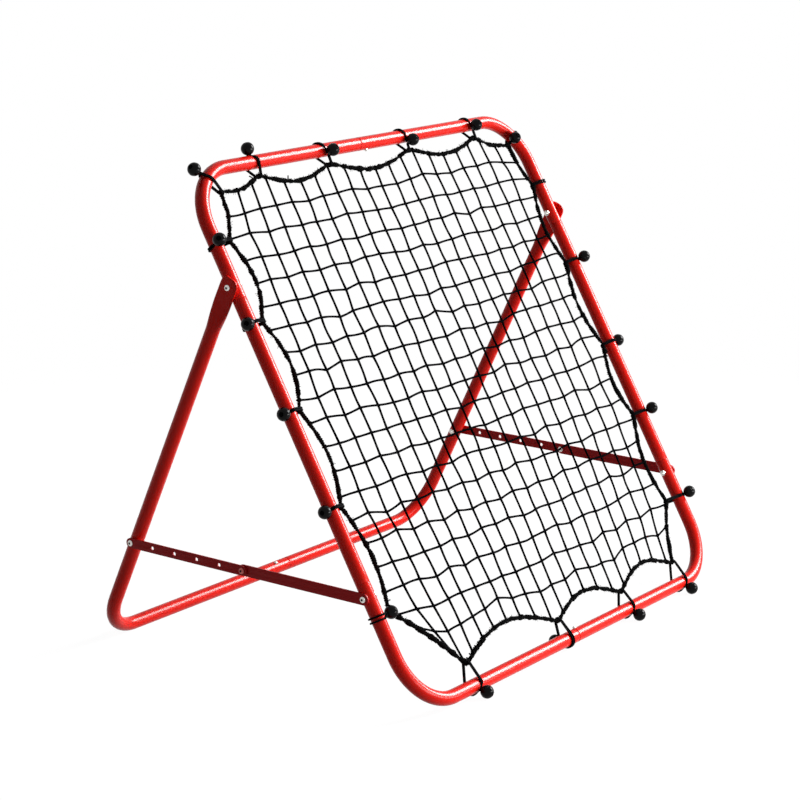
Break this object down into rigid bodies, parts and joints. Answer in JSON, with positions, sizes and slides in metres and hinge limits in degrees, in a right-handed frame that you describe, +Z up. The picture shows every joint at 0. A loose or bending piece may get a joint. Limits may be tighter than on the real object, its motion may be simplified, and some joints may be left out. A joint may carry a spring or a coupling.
{
  "type": "soccer rebounder",
  "caption": "Folding soccer rebounder: a leaning tube frame with a net on a bungee-tied border rope, held up by a U-shaped rear stand and bolted flat strut bars.",
  "frame": {"origin": "on the ground, at the middle of the outline's width and depth", "axes": "+X to the right seen from the playing side, +Y to the rear stand, +Z up"},
  "size_m": [1.0446, 0.7494, 0.9013],
  "materials": {
    "red_coat": "glossy powder coat",
    "dark_red_coat": "satin powder coat",
    "zinc": "zinc plated",
    "spring_steel": "blued spring steel",
    "bungee_black": "glossy black balls on a black elastic cord",
    "rope": "rough braided rope",
    "twine": "matt braided twine"
  },
  "bodies": {
    "net_frame": {"frame_corner_upper_left": "red_coat", "frame_corner_upper_right": "red_coat", "frame_corner_lower_left": "red_coat", "frame_corner_lower_right": "red_coat", "frame_side_left": "red_coat", "frame_side_right": "red_coat", "leg_bolt_left": "zinc", "leg_nut_left": "zinc", "front_strut_bolt_left": "zinc", "front_strut_nut_left": "zinc", "leg_bolt_right": "zinc", "leg_nut_right": "zinc", "front_strut_bolt_right": "zinc", "front_strut_nut_right": "zinc", "net": "twine", "border_rope": "rope", "bungee_top_left": "bungee_black", "bungee_top_1": "bungee_black", "bungee_top_2": "bungee_black", "bungee_top_3": "bungee_black", "bungee_top_4": "bungee_black", "bungee_top_right": "bungee_black", "bungee_right_1": "bungee_black", "bungee_right_2": "bungee_black", "bungee_right_3": "bungee_black", "bungee_right_4": "bungee_black", "bungee_right_5": "bungee_black", "bungee_bottom_1": "bungee_black", "bungee_bottom_2": "bungee_black", "bungee_bottom_3": "bungee_black", "bungee_bottom_4": "bungee_black", "bungee_left_1": "bungee_black", "bungee_left_2": "bungee_black", "bungee_left_3": "bungee_black", "bungee_left_4": "bungee_black", "bungee_left_5": "bungee_black", "top_rail_button_spring": "spring_steel", "bottom_rail_button_spring": "spring_steel"},
    "rear_stand": {"rear_leg_left": "red_coat", "rear_leg_right": "red_coat", "rear_strut_bolt_left": "zinc", "rear_strut_nut_left": "zinc", "rear_strut_bolt_right": "zinc", "rear_strut_nut_right": "zinc", "crossbar_button_spring": "spring_steel"},
    "front_bar_left": {"front_strut_left": "dark_red_coat", "knee_nut_left": "zinc"},
    "front_bar_right": {"front_strut_right": "dark_red_coat", "knee_nut_right": "zinc"},
    "rear_bar_left": {"rear_strut_left": "dark_red_coat", "knee_bolt_left": "zinc"},
    "rear_bar_right": {"rear_strut_right": "dark_red_coat", "knee_bolt_right": "zinc"},
    "top_button": {"top_rail_button": "zinc"},
    "bottom_button": {"bottom_rail_button": "zinc"},
    "crossbar_lock": {"crossbar_button": "zinc"}
  },
  "joints": [
    {"name": "leg_fold", "type": "hinge", "parent": "net_frame", "child": "rear_stand", "pos_m": [0, 0.04099, 0.68627], "axis": [-1, 0, 0], "range_deg": [0, 27]},
    {"name": "front_bar_turn_left", "type": "hinge", "parent": "net_frame", "child": "front_bar_left", "pos_m": [0, -0.23727, 0.198], "axis": [1, 0, 0], "range_deg": [0, 48]},
    {"name": "rear_bar_turn_left", "type": "hinge", "parent": "rear_stand", "child": "rear_bar_left", "pos_m": [0, 0.27068, 0.20486], "axis": [-1, 0, 0], "range_deg": [0, 42]},
    {"name": "front_bar_turn_right", "type": "hinge", "parent": "net_frame", "child": "front_bar_right", "pos_m": [0, -0.23727, 0.198], "axis": [1, 0, 0], "range_deg": [0, 48]},
    {"name": "rear_bar_turn_right", "type": "hinge", "parent": "rear_stand", "child": "rear_bar_right", "pos_m": [0, 0.27068, 0.20486], "axis": [-1, 0, 0], "range_deg": [0, 42]},
    {"name": "top_button_press", "type": "slide", "parent": "net_frame", "child": "top_button", "axis": [0, 0.4951, 0.8688], "range_m": [0, 0.0035], "stiffness_N_per_m": 1500, "springref_m": -0.001, "deforming": ["top_rail_button_spring"]},
    {"name": "bottom_button_press", "type": "slide", "parent": "net_frame", "child": "bottom_button", "axis": [0, -0.4951, -0.8688], "range_m": [0, 0.0035], "stiffness_N_per_m": 1500, "springref_m": -0.001, "deforming": ["bottom_rail_button_spring"]},
    {"name": "crossbar_button_press", "type": "slide", "parent": "rear_stand", "child": "crossbar_lock", "axis": [0, 0.4306, -0.9025], "range_m": [0, 0.0035], "stiffness_N_per_m": 1500, "springref_m": -0.001, "deforming": ["crossbar_button_spring"]}
  ],
  "couplings": [
    {"joint": "front_bar_turn_left", "follows": "leg_fold", "ratio": 1.7672},
    {"joint": "rear_bar_turn_left", "follows": "leg_fold", "ratio": 1.5392},
    {"joint": "front_bar_turn_right", "follows": "leg_fold", "ratio": 1.7672},
    {"joint": "rear_bar_turn_right", "follows": "leg_fold", "ratio": 1.5392}
  ]
}
